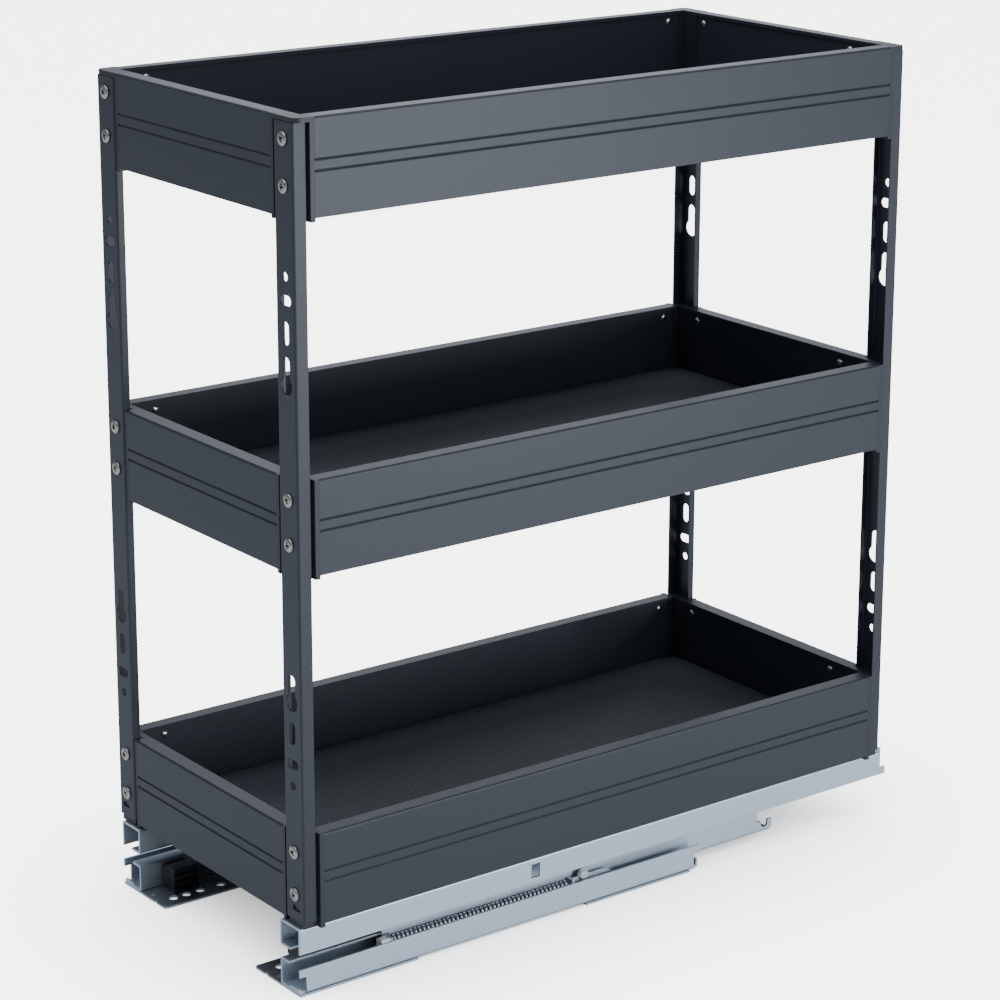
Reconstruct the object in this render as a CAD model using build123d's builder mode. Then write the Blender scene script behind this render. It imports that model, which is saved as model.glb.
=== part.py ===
from build123d import *
import os
from math import cos, pi, sin, sqrt

os.makedirs("parts", exist_ok=True)

# Pull-out rack of three trays on four posts, carried by two full-extension slides.
# X runs across the rack, Y from its front (minus) to its rear, Z up from the cabinet floor.
# Right-hand pieces are drawn, and left-hand ones are their mirror images.

# Posts: channels of bent sheet, their webs to the front and the rear
rack_width = 224
rack_setback = 1
post_bottom = 50.4
post_height = 500
post_sheet = 1
post_web = 20
post_flange = 9
post_lip = 5.5
post_bend = 1.5

# Holes in each post's web, as heights above and below its middle
post_pattern_drop = 1.7
round_hole_rise, round_hole_diameter = 159.8, 5.8
oval_rise, oval_width, oval_height = 145.6, 12, 6.5
slot_rise, slot_width, slot_height = 125.5, 6.5, 14.5
keyhole_rise, keyhole_height, keyhole_diameter, keyhole_neck = 99.5, 23.5, 12, 7.4
foot_slot_rise, foot_slot_width, foot_slot_height, foot_slot_shift = 8, 7.5, 3.5, 1.5

# Trays: hollow panels round a floor board with a ribbed mat
lower_tray_drop = 1.9
middle_tray_bottom = 275
cap_rise = 3.2
panel_height = 60
panel_thickness = 10
panel_wall = 1.3
side_panel_proud = 2
end_panel_recess = 0.5
rim_overhang = 1
rim_thickness = 2.5
rim_round = 1.5
groove_drops = (25.4, 32.2)
groove_width = 1.8
groove_depth = 0.8
ledge_top = 7.5
ledge_sheet = 1.5
ledge_reach = 7
board_thickness = 5
mat_thickness = 1.5
mat_margin = 1
board_corner = 2

# Corner connectors: moulded plugs that stand in the posts and reach into the panels
side_panel_setback = 14.2
end_panel_setback = 24
flange_gap = 1.9
lip_gap = 1.2
tenon_gap = 1
connector_drop = 2.2
cap_gap = 0.1
cap_corner = 5
tongue_length = 20
tongue_gap = 0.3
tongue_lead = 1.5

# Screws through the posts into the connectors, and up through the drawer rails
screw_rises = (18.8, 46.8)
screw_diameter = 4
screw_head_diameter = 9.5
screw_head_height = 2.4
screw_head_taper = 36
screw_grip = 8.5
rail_screw_grip = 11
rail_screw_head_diameter = 7
rail_screw_head_height = 2
bolt_clearance = 0.1
thread_clearance = 0.05

# Slides: a cabinet rail, a middle rail and a drawer rail of one sheet thickness
slide_height = 46
rail_inset = 4
rail_width = 22.2
rail_sheet = 1.5
rail_bend = 2
drawer_rail_length = 500
drawer_rail_tail = 11
drawer_rail_height = 17.6
drawer_lip = 11
cabinet_rail_length = 326
cabinet_rail_height = 18.7
cabinet_outer_wall = 16.7
cabinet_lip = 10
middle_rail_setback = 65
middle_rail_length = 335
middle_web_inset = 8.9
middle_flange = 9.8

# Cut-outs at the rails' ends
end_notch = 5
end_strip = 5.2
lug_width = 10
lug_heights = {"front": 1.4, "rear": 4.3}
window_setback, window_width, window_height, window_rise = 184.5, 7, 9.6, 3.4
nose_slant = 5
nose_slot_length, nose_slot_height, nose_slot_z = 8, 1, 20
hook_length = 14
hook_z = 16
hook_notch_width = 6
hook_notch_z = 11
hook_throat = 4
hook_round = 5
tongue_round = 5

# Roller carriages between the rails
small_roller = 4
roller_gap = 0.3
roller_width = 6
cage_sheet = 1.4
cage_finger = 1.6
lower_carriage_setback, lower_carriage_length = 130, 148
upper_carriage_setback, upper_carriage_length = 212, 156
roller_pairs = 2
roller_margin = 14
small_roller_shift = 14

# Closing unit on the slide's outer side: a spring that pushes a catch back
spring_inset = 5.1
spring_z = 17.3
spring_diameter = 5.4
spring_wire = 1
spring_turns = 40
spring_end_gap = 0.55
seat_setback = 69.1
seat_thickness = 6
seat_spigot = 2.8
seat_spigot_length = 6
catch_setback = 217
catch_sheet = 1.5
catch_length = 37
catch_tongue_z = 15.7
catch_tongue_height = 4.3
catch_tongue_slant = 5.5
catch_foot_length = 29
pin_setback, pin_z = 10.8, 20.7
pin_head_diameter = 7.4
pin_head_height = 1.6
pin_diameter = 3
pin_reach = 2
ear_margin = 0.6
running_gap = 0.3

# Damper on the slide's inner side
damper_inset = 31
damper_setback = 16
damper_head_length = 19
damper_head_width = 16
damper_head_height = 17.9
damper_groove_width, damper_groove_depth, damper_groove_pitch = 1.4, 1.2, 4.4
rod_diameter = 3
rod_rise = 4.3
rod_seat = 8
rod_length = 111
cylinder_diameter = 8
cylinder_setback = 100
cylinder_length = 90
cylinder_floor = 6
rod_clearance = 0.08

# Bracket plates that are screwed to the cabinet floor
plate_thickness = 1.5
plate_reach = 53
plate_length = 90
rear_plate_setback = 227.5
plate_corner = 2
plate_screw_inset = 42.9
plate_screw_setbacks = (12.5, 22.5, 33.3, 49.5)
plate_screw_diameter = 6.6
pilot_inset, pilot_setback, pilot_diameter = 31.1, 4, 3
plate_notch_inset, plate_notch_width, plate_notch_depth = 40, 3, 1.2

# Places that follow from the sizes above
post_x = rack_width / 2
rack_depth = drawer_rail_length - rack_setback - drawer_rail_tail
slide_front_y = -(drawer_rail_length + rack_setback - screw_head_height) / 2
post_front_y = slide_front_y + rack_setback
rack_middle_y = post_front_y + rack_depth / 2
post_top = post_bottom + post_height
web_x = post_x - post_web / 2
web_back_y = post_front_y + post_sheet
tray_bottoms = {
    "lower": post_bottom - lower_tray_drop,
    "middle": middle_tray_bottom,
    "upper": post_top + cap_rise - panel_height,
}
side_face_x = post_x + side_panel_proud
side_inner_x = side_face_x - panel_thickness
end_face_y = post_front_y + end_panel_recess
end_inner_y = end_face_y + panel_thickness
side_panel_y = post_front_y + side_panel_setback
end_panel_x = post_x - end_panel_setback
rack_middle = Plane.XZ.offset(-rack_middle_y)
rail_outer_x = post_x - rail_inset
rail_inner_x = rail_outer_x - rail_width
middle_web_x = rail_outer_x - middle_web_inset
spring_x = rail_outer_x - spring_inset
damper_x = rail_outer_x - damper_inset
plate_screw_x = rail_outer_x - plate_screw_inset
pilot_x = rail_outer_x - pilot_inset
plate_notch_x = rail_outer_x - plate_notch_inset
rail_floor_top = plate_thickness + rail_sheet
cabinet_lip_top = plate_thickness + cabinet_rail_height
drawer_rail_bottom = slide_height - drawer_rail_height
drawer_rail_ceiling = slide_height - rail_sheet
roller_room = small_roller + 2 * roller_gap
middle_bottom = rail_floor_top + roller_room
middle_top = drawer_rail_ceiling - roller_room
rail_outer_wall_x = rail_outer_x - rail_sheet
rod_z = plate_thickness + rod_rise
seat_face_y = slide_front_y + seat_setback
catch_face_y = slide_front_y + catch_setback


def save(piece, name):
    """Labels a finished piece and writes it."""
    piece.label = name
    export_step(piece, f"parts/{name}.step")


def save_pair(piece, name):
    """Writes a right-hand piece and its mirror image."""
    save(piece, f"{name}_right")
    save(mirror(piece, about=Plane.YZ), f"{name}_left")


def bent_sheet(points, sheet, bend):
    """Adds the cut face of a bent sheet, whose mid-line runs through the points, to a sketch."""
    with BuildLine() as middle:
        FilletPolyline(*points, radius=bend - sheet / 2)
    trace(middle.edges(), line_width=sheet)


def round_off(corner, x_way, y_way, radius):
    """Adds what a rounded corner leaves out of a square one to a sketch of a cut."""
    x, y = corner
    middle = radius * (1 - 1 / sqrt(2))
    x_end = (x + x_way * radius, y)
    y_end = (x, y + y_way * radius)
    with BuildLine() as scrap:
        Polyline(x_end, corner, y_end)
        ThreePointArc(y_end, (x + x_way * middle, y + y_way * middle), x_end)
    make_face(scrap.edges())


def side_plane(x):
    """A plane across the slide at x, with its own x along Y and its own y up."""
    return Plane(origin=(x, 0, 0), x_dir=(0, 1, 0), z_dir=(1, 0, 0))


def front_plane(y):
    """A plane along the front at y, which faces forwards, with its own y up."""
    return Plane(origin=(0, y, 0), x_dir=(1, 0, 0), z_dir=(0, -1, 0))


def post_screw_places():
    """Where the screws sit on a front post, from the front."""
    return [(web_x, bottom + rise) for bottom in tray_bottoms.values() for rise in screw_rises]


# Posts
half_sheet = post_sheet / 2
post_pattern_z = post_bottom + post_height / 2 - post_pattern_drop
with BuildPart() as post:
    with BuildSketch(Plane.XY.offset(post_bottom)):
        bent_sheet(
            [
                (post_x - half_sheet, post_front_y + post_flange),
                (post_x - half_sheet, post_front_y + half_sheet),
                (post_x - post_web + half_sheet, post_front_y + half_sheet),
                (post_x - post_web + half_sheet, post_front_y + post_lip),
            ],
            post_sheet,
            post_bend,
        )
    extrude(amount=post_height)
    with BuildSketch(front_plane(post_front_y)):
        for side in (-1, 1):
            with Locations((web_x, post_pattern_z + side * round_hole_rise)):
                Circle(round_hole_diameter / 2)
            with Locations((web_x, post_pattern_z + side * oval_rise)):
                SlotOverall(oval_width, oval_height)
            with Locations((web_x, post_pattern_z + side * slot_rise)):
                SlotOverall(slot_height, slot_width, rotation=90)
            keyhole_z = post_pattern_z + side * keyhole_rise
            with Locations((web_x, keyhole_z - (keyhole_height - keyhole_diameter) / 2)):
                Circle(keyhole_diameter / 2)
            with Locations((web_x, keyhole_z + keyhole_diameter / 4)):
                SlotOverall(keyhole_height - keyhole_diameter / 2, keyhole_neck, rotation=90)
        with Locations((web_x + foot_slot_shift, post_bottom + foot_slot_rise)):
            Rectangle(foot_slot_width, foot_slot_height)
        with Locations(*post_screw_places()):
            Circle(screw_diameter / 2 + bolt_clearance)
    extrude(amount=-2 * post_sheet, mode=Mode.SUBTRACT)

save_pair(post.part, "post_front")
save_pair(mirror(post.part, about=rack_middle), "post_rear")


# Tray panels
def make_panel(plane, length):
    """A hollow panel with two V grooves outside and a ledge for the floor inside."""
    with BuildPart() as panel:
        with BuildSketch(plane) as section:
            with BuildLine():
                corners = [(0, 0), (panel_thickness, 0), (panel_thickness, panel_height), (0, panel_height)]
                for drop in groove_drops:
                    groove_z = panel_height - drop
                    corners.append((0, groove_z + groove_width / 2))
                    corners.append((groove_depth, groove_z))
                    corners.append((0, groove_z - groove_width / 2))
                Polyline(*corners, close=True)
            make_face()
            fillet(section.vertices().group_by(Axis.Y)[-1].sort_by(Axis.X)[0], radius=rim_round)
            offset(amount=-panel_wall, kind=Kind.INTERSECTION, mode=Mode.SUBTRACT)
            with Locations((panel_thickness, panel_height)):
                Rectangle(rim_overhang, rim_thickness, align=(Align.MIN, Align.MAX))
            with Locations((panel_thickness, ledge_top)):
                Rectangle(ledge_reach, ledge_sheet, align=(Align.MIN, Align.MAX))
        extrude(amount=length)
    return panel.part


for tray, bottom in tray_bottoms.items():
    side_start = (side_face_x, side_panel_y, bottom)
    end_start = (-end_panel_x, end_face_y, bottom)
    side_panel = make_panel(
        Plane(origin=side_start, x_dir=(-1, 0, 0), z_dir=(0, 1, 0)),
        rack_depth - 2 * side_panel_setback,
    )
    front_panel = make_panel(
        Plane(origin=end_start, x_dir=(0, 1, 0), z_dir=(1, 0, 0)), 2 * end_panel_x
    )
    save(side_panel, f"{tray}_right_panel")
    save(mirror(side_panel, about=Plane.YZ), f"{tray}_left_panel")
    save(front_panel, f"{tray}_front_panel")
    save(mirror(front_panel, about=rack_middle), f"{tray}_rear_panel")


# Tray floors and mats
board_width = 2 * (side_inner_x - rim_overhang - tongue_gap)
board_length = 2 * (rack_middle_y - end_inner_y - rim_overhang - tongue_gap)


def make_sheet(width, length, z, thickness):
    """A flat sheet with rounded corners in the middle of the rack."""
    with BuildPart() as sheet:
        with BuildSketch(Plane.XY.offset(z)):
            with Locations((0, rack_middle_y)):
                RectangleRounded(width, length, board_corner)
        extrude(amount=thickness)
    return sheet.part


for tray, bottom in tray_bottoms.items():
    board_z = bottom + ledge_top
    mat_z = board_z + board_thickness
    save(make_sheet(board_width, board_length, board_z, board_thickness), f"{tray}_floor")
    save(
        make_sheet(board_width - 2 * mat_margin, board_length - 2 * mat_margin, mat_z, mat_thickness),
        f"{tray}_mat",
    )


# Corner connectors
lip_end_y = post_front_y + post_lip
flange_end_y = post_front_y + post_flange
lip_x = post_x - post_web
tenon_x = lip_x + post_sheet + tenon_gap
tenon_outer_x = post_x - post_sheet - tenon_gap
connector_inner_x = side_inner_x - rim_overhang
connector_inner_y = end_inner_y + rim_overhang
connector_plan = [
    (end_panel_x, end_face_y),
    (lip_x - lip_gap, end_face_y),
    (lip_x - lip_gap, lip_end_y + lip_gap),
    (tenon_x, lip_end_y + lip_gap),
    (tenon_x, web_back_y),
    (tenon_outer_x, web_back_y),
    (tenon_outer_x, flange_end_y + flange_gap),
    (side_face_x, flange_end_y + flange_gap),
    (side_face_x, side_panel_y),
    (connector_inner_x, side_panel_y),
    (connector_inner_x, connector_inner_y),
    (end_panel_x, connector_inner_y),
]
groove_zone_top = panel_height - groove_drops[0] + groove_width + panel_wall
groove_zone_bottom = panel_height - groove_drops[1] - groove_width - panel_wall
inside_wall = panel_wall + tongue_gap
tongue_spans = [(inside_wall, groove_zone_bottom), (groove_zone_top, panel_height - inside_wall)]
tongue_middle = panel_thickness / 2
tongue_thickness = panel_thickness - 2 * inside_wall


def make_corners(bottom, foot_z, capped):
    """The four connectors of one tray, whose plugs reach into its panels."""
    top = bottom + panel_height
    with BuildPart() as corners:
        with BuildSketch(Plane.XY.offset(foot_z)):
            with BuildLine():
                Polyline(*connector_plan, close=True)
            make_face()
        extrude(amount=top - foot_z - (cap_rise - cap_gap if capped else 0))
        for low, high in tongue_spans:
            middle = bottom + (low + high) / 2
            with BuildSketch(front_plane(side_panel_y)):
                with Locations((side_face_x - tongue_middle, middle)):
                    Rectangle(tongue_thickness, high - low)
            extrude(amount=-tongue_length, taper=tongue_lead)
            with BuildSketch(side_plane(end_panel_x)):
                with Locations((end_face_y + tongue_middle, middle)):
                    Rectangle(tongue_thickness, high - low)
            extrude(amount=-tongue_length, taper=tongue_lead)
        if capped:
            with BuildSketch(Plane.XY.offset(post_top + cap_gap)) as cap:
                with BuildLine():
                    Polyline(
                        (end_panel_x, end_face_y),
                        (side_face_x, end_face_y),
                        (side_face_x, side_panel_y),
                        (connector_inner_x, side_panel_y),
                        (connector_inner_x, connector_inner_y),
                        (end_panel_x, connector_inner_y),
                        close=True,
                    )
                make_face()
                corner = cap.vertices().group_by(Axis.Y)[0].sort_by(Axis.X)[-1]
                fillet(corner, radius=cap_corner)
            extrude(amount=cap_rise - cap_gap)
        with BuildSketch(front_plane(web_back_y)):
            with Locations(*[(web_x, bottom + rise) for rise in screw_rises]):
                Circle(screw_diameter / 2 + thread_clearance)
        extrude(amount=-(screw_grip + roller_gap), mode=Mode.SUBTRACT)
        if foot_z == slide_height:
            with BuildSketch(Plane.XY.offset(slide_height)):
                with Locations((web_x, rail_screw_y)):
                    Circle(screw_diameter / 2 + thread_clearance)
            extrude(amount=rail_screw_grip + roller_gap, mode=Mode.SUBTRACT)
        mirror(about=Plane.YZ)
        mirror(about=rack_middle)
    return corners.part


rail_screw_y = (web_back_y + connector_inner_y) / 2
save(make_corners(tray_bottoms["lower"], slide_height, False), "lower_corners")
middle_foot = tray_bottoms["middle"] - connector_drop
save(make_corners(tray_bottoms["middle"], middle_foot, False), "middle_corners")
upper_foot = tray_bottoms["upper"] - connector_drop
save(make_corners(tray_bottoms["upper"], upper_foot, True), "upper_corners")


# Screws
with BuildPart() as post_screws:
    with BuildSketch(front_plane(post_front_y)):
        with Locations(*post_screw_places()):
            Circle(screw_head_diameter / 2)
    extrude(amount=screw_head_height, taper=screw_head_taper)
    with BuildSketch(front_plane(post_front_y)):
        with Locations(*post_screw_places()):
            Circle(screw_diameter / 2)
    extrude(amount=-(post_sheet + screw_grip))
    mirror(about=Plane.YZ)
    mirror(about=rack_middle)
save(post_screws.part, "post_screws")

with BuildPart() as rail_screws:
    with BuildSketch(Plane.XY.offset(drawer_rail_ceiling)):
        with Locations((web_x, rail_screw_y)):
            Circle(rail_screw_head_diameter / 2)
    extrude(amount=-rail_screw_head_height)
    with BuildSketch(Plane.XY.offset(drawer_rail_ceiling)):
        with Locations((web_x, rail_screw_y)):
            Circle(screw_diameter / 2)
    extrude(amount=rail_sheet + rail_screw_grip)
    mirror(about=Plane.YZ)
    mirror(about=rack_middle)
save(rail_screws.part, "rail_screws")


# Drawer rail: a channel open downwards, with a lip that the upper rollers run on
half_sheet = rail_sheet / 2
inner_wall_x = rail_inner_x + half_sheet
outer_wall_x = rail_outer_x - half_sheet
slide_rear_y = slide_front_y + drawer_rail_length
rear_rail_screw_y = 2 * rack_middle_y - rail_screw_y
with BuildPart() as drawer_rail:
    with BuildSketch(front_plane(slide_front_y)):
        bent_sheet(
            [
                (rail_inner_x + drawer_lip, drawer_rail_bottom + half_sheet),
                (inner_wall_x, drawer_rail_bottom + half_sheet),
                (inner_wall_x, slide_height - half_sheet),
                (outer_wall_x, slide_height - half_sheet),
                (outer_wall_x, drawer_rail_bottom),
            ],
            rail_sheet,
            rail_bend,
        )
    extrude(amount=-drawer_rail_length)
    # The outer wall has a window, and its rear end steps back under the flange's tongue
    with BuildSketch(side_plane(rail_outer_x)):
        with Locations((slide_front_y + window_setback, drawer_rail_bottom + window_rise)):
            Rectangle(window_width, window_height, align=(Align.CENTER, Align.MIN))
        with Locations((slide_rear_y, drawer_rail_bottom + end_strip)):
            Rectangle(end_notch, drawer_rail_height, align=(Align.MAX, Align.MIN))
    extrude(amount=-rail_bend, mode=Mode.SUBTRACT)
    with BuildSketch(Plane.XY.offset(slide_height)):
        with Locations((web_x, rail_screw_y), (web_x, rear_rail_screw_y)):
            Circle(screw_diameter / 2 + bolt_clearance)
        round_off((rail_outer_x - rail_bend, slide_rear_y), -1, -1, tongue_round)
    extrude(amount=-2 * rail_sheet, mode=Mode.SUBTRACT)
save_pair(drawer_rail.part, "drawer_rail")

# Cabinet rail: a channel open upwards, with a lip that the lower rollers run under
cabinet_rear_y = slide_front_y + cabinet_rail_length
outer_wall_top = plate_thickness + cabinet_outer_wall
with BuildPart() as cabinet_rail:
    with BuildSketch(front_plane(slide_front_y)):
        bent_sheet(
            [
                (rail_inner_x + cabinet_lip, cabinet_lip_top - half_sheet),
                (inner_wall_x, cabinet_lip_top - half_sheet),
                (inner_wall_x, plate_thickness + half_sheet),
                (outer_wall_x, plate_thickness + half_sheet),
                (outer_wall_x, outer_wall_top),
            ],
            rail_sheet,
            rail_bend,
        )
    extrude(amount=-cabinet_rail_length)
    # Only the top strip of the outer wall reaches the ends, over a lug bent up from the floor
    with BuildSketch(side_plane(rail_outer_x)):
        for end_y, side in ((slide_front_y, Align.MIN), (cabinet_rear_y, Align.MAX)):
            with Locations((end_y, 0)):
                Rectangle(end_notch, outer_wall_top - end_strip, align=(side, Align.MIN))
    extrude(amount=-rail_bend, mode=Mode.SUBTRACT)
    for end_y, height, side in (
        (slide_front_y, lug_heights["front"], Align.MIN),
        (cabinet_rear_y, lug_heights["rear"], Align.MAX),
    ):
        with BuildSketch(Plane.XY.offset(rail_floor_top)):
            with Locations((rail_outer_x - rail_bend, end_y)):
                Rectangle(lug_width, rail_sheet, align=(Align.MAX, side))
        extrude(amount=height)
save_pair(cabinet_rail.part, "cabinet_rail")

# Middle rail: a channel open inwards, with a slanted nose and a hook behind
middle_rail_front_y = slide_front_y + middle_rail_setback
middle_rear_y = middle_rail_front_y + middle_rail_length
middle_mid_x = middle_web_x - half_sheet
middle_flange_x = middle_web_x - middle_flange
with BuildPart() as middle_rail:
    with BuildSketch(front_plane(middle_rail_front_y)):
        bent_sheet(
            [
                (middle_flange_x, middle_bottom + half_sheet),
                (middle_mid_x, middle_bottom + half_sheet),
                (middle_mid_x, middle_top - half_sheet),
                (middle_flange_x, middle_top - half_sheet),
            ],
            rail_sheet,
            rail_bend,
        )
    extrude(amount=-middle_rail_length)
    with BuildSketch(side_plane(middle_web_x)):
        with BuildLine():
            Polyline(
                (middle_rail_front_y, middle_top),
                (middle_rail_front_y, middle_bottom),
                (middle_rail_front_y + nose_slant, middle_bottom),
                close=True,
            )
        make_face()
        with Locations((middle_rail_front_y, nose_slot_z)):
            Rectangle(nose_slot_length, nose_slot_height, align=(Align.MIN, Align.CENTER))
        notch_y = middle_rear_y - hook_length + hook_throat + hook_notch_width / 2
        with Locations((middle_rear_y, hook_z)):
            Rectangle(hook_length, middle_top, align=(Align.MAX, Align.MIN))
        with Locations((notch_y, hook_notch_z + hook_notch_width / 2)):
            Circle(hook_notch_width / 2)
            Rectangle(hook_notch_width, middle_top, align=(Align.CENTER, Align.MIN))
        round_off((middle_rear_y, middle_bottom), -1, 1, hook_round)
    extrude(amount=-middle_flange, mode=Mode.SUBTRACT)
save_pair(middle_rail.part, "middle_rail")


# Bracket plates
def make_plate(front_y):
    """A plate under the cabinet rail, with its screw holes in a row on the inner side."""
    with BuildPart() as plate:
        with BuildSketch() as outline:
            with Locations((rail_outer_x, front_y)):
                Rectangle(plate_reach, plate_length, align=(Align.MAX, Align.MIN))
            fillet(outline.vertices().group_by(Axis.X)[0], radius=plate_corner)
            with Locations(*[(plate_screw_x, front_y + setback) for setback in plate_screw_setbacks]):
                Circle(plate_screw_diameter / 2, mode=Mode.SUBTRACT)
            with Locations((pilot_x, front_y + pilot_setback)):
                Circle(pilot_diameter / 2, mode=Mode.SUBTRACT)
            with Locations((plate_notch_x, front_y)):
                Rectangle(plate_notch_width, 2 * plate_notch_depth, mode=Mode.SUBTRACT)
        extrude(amount=plate_thickness)
    return plate.part


save_pair(make_plate(slide_front_y), "front_bracket")
rear_plate_y = slide_front_y + rear_plate_setback
rear_plate_middle = Plane.XZ.offset(-(rear_plate_y + plate_length / 2))
save_pair(mirror(make_plate(rear_plate_y), about=rear_plate_middle), "rear_bracket")

# Roller carriages: rollers in the pockets of a moulded cage
cage_x = rail_inner_x + rail_sheet + roller_gap
roller_x = cage_x + cage_sheet


def roller_row(middle_y, length, shift):
    """The places along Y of the rollers at both ends of a carriage."""
    reach = length / 2 - roller_margin
    step = 2 * reach / (roller_pairs - 1)
    return [middle_y - reach + shift + step * i * (1 - abs(shift) / reach) for i in range(roller_pairs)]


def make_carriage(front_y, length, small_z, large_low, large_high):
    """A cage and its rollers, small ones at the height small_z and large ones between two tracks."""
    middle_y = front_y + length / 2
    large = large_high - large_low
    large_z = (large_low + large_high) / 2
    sizes = (
        (small_z, small_roller, roller_row(middle_y, length, small_roller_shift)),
        (large_z, large, roller_row(middle_y, length, 0)),
    )
    cage_low = min(small_z - small_roller / 2, large_low)
    cage_high = max(small_z + small_roller / 2, large_high)
    with BuildPart() as rollers:
        with BuildSketch(side_plane(roller_x)):
            for z, diameter, row in sizes:
                with Locations(*[(y, z) for y in row]):
                    Circle(diameter / 2)
        extrude(amount=roller_width)
    with BuildPart() as cage:
        with BuildSketch(side_plane(cage_x)):
            with Locations((middle_y, (cage_low + cage_high) / 2)):
                RectangleRounded(length, cage_high - cage_low, rail_bend)
        extrude(amount=cage_sheet)
        with BuildSketch(side_plane(roller_x)):
            for z, diameter, row in sizes:
                pocket = diameter / 2 + roller_gap + cage_finger / 2
                with Locations(*[(y + side * pocket, z) for y in row for side in (-1, 1)]):
                    Rectangle(cage_finger, diameter - 2 * roller_gap)
        extrude(amount=roller_width)
    return cage.part, rollers.part


lower_cage, lower_rollers = make_carriage(
    slide_front_y + lower_carriage_setback,
    lower_carriage_length,
    rail_floor_top + roller_room / 2,
    middle_bottom + rail_sheet + roller_gap,
    cabinet_lip_top - rail_sheet - roller_gap,
)
upper_cage, upper_rollers = make_carriage(
    slide_front_y + upper_carriage_setback,
    upper_carriage_length,
    drawer_rail_ceiling - roller_room / 2,
    drawer_rail_bottom + rail_sheet + roller_gap,
    middle_top - rail_sheet - roller_gap,
)
save_pair(lower_cage, "lower_carriage")
save_pair(lower_rollers, "lower_rollers")
save_pair(upper_cage, "upper_carriage")
save_pair(upper_rollers, "upper_rollers")

# Closing spring: one unbroken wire of square section, wound along Y
coil_radius = (spring_diameter - spring_wire) / 2
spring_front_y = seat_face_y + spring_end_gap + spring_wire / 2
spring_rear_y = catch_face_y - spring_end_gap - spring_wire / 2
spring_pitch = (spring_rear_y - spring_front_y) / spring_turns
half_turns = 2 * spring_turns


def coil_point(angle):
    """A point on the wire's centre line."""
    rise = spring_pitch * angle / (2 * pi)
    return Vector(
        spring_x + coil_radius * cos(angle), spring_front_y + rise, spring_z + coil_radius * sin(angle)
    )


def coil_direction(angle):
    """The way the wire runs at a point."""
    rise = spring_pitch / (2 * pi)
    return Vector(-coil_radius * sin(angle), rise, coil_radius * cos(angle)).normalized()


def add_biarc(start, start_way, end, end_way):
    """Adds two arcs to a line, which join two points and keep the way at each."""
    chord = end - start
    a = 2 * (start_way.dot(end_way) - 1)
    b = -2 * chord.dot(start_way + end_way)
    c = chord.dot(chord)
    reach = (-b - sqrt(b * b - 4 * a * c)) / (2 * a)
    if reach < 0:
        reach = (-b + sqrt(b * b - 4 * a * c)) / (2 * a)
    handle_start = start + start_way * reach
    handle_end = end - end_way * reach
    joint = (handle_start + handle_end) * 0.5
    TangentArc(start, joint, tangent=start_way)
    TangentArc(joint, end, tangent=(handle_end - handle_start).normalized())


with BuildLine() as spring_path:
    Line(coil_point(0) - coil_direction(0) * spring_wire, coil_point(0))
    for i in range(half_turns):
        start, end = pi * i, pi * (i + 1)
        add_biarc(coil_point(start), coil_direction(start), coil_point(end), coil_direction(end))
    last = pi * half_turns
    Line(coil_point(last), coil_point(last) + coil_direction(last) * spring_wire)
spring_centre = spring_path.wires()[0]
with BuildPart() as spring:
    with BuildSketch(Plane(origin=spring_centre @ 0, x_dir=(1, 0, 0), z_dir=spring_centre % 0)):
        Rectangle(spring_wire, spring_wire)
    sweep(path=spring_centre, clean=False)
save_pair(spring.part, "closing_spring")

points_a_turn = 24
centre_points = [coil_point(2 * pi * i / points_a_turn) for i in range(points_a_turn * spring_turns + 1)]
least_gap = min(
    (centre_points[i] - centre_points[j]).length - spring_wire
    for i in range(len(centre_points))
    for j in range(i + points_a_turn // 2, min(i + 2 * points_a_turn, len(centre_points)))
)
print("spring: wire", round(spring_centre.length, 1), "mm, least gap to itself", round(least_gap, 2), "mm")

# Spring seat: a nylon block on the rail's floor, with a spigot in the spring's end
seat_left_x = middle_web_x + 2 * running_gap
seat_right_x = rail_outer_wall_x - running_gap
seat_top_z = spring_z + spring_diameter / 2
with BuildPart() as spring_seat:
    with BuildSketch(front_plane(seat_face_y)) as seat_face:
        with Locations((seat_left_x, rail_floor_top)):
            Rectangle(seat_right_x - seat_left_x, seat_top_z - rail_floor_top, align=(Align.MIN, Align.MIN))
        fillet(seat_face.vertices().group_by(Axis.Y)[-1], radius=post_bend)
        chamfer(seat_face.vertices().group_by(Axis.Y)[0].sort_by(Axis.X)[-1], length=rail_bend / 2)
    extrude(amount=seat_thickness)
    with BuildSketch(front_plane(seat_face_y)):
        with Locations((spring_x, spring_z)):
            Circle(seat_spigot / 2)
    extrude(amount=-seat_spigot_length, taper=tongue_lead)
save_pair(spring_seat.part, "spring_seat")

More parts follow.
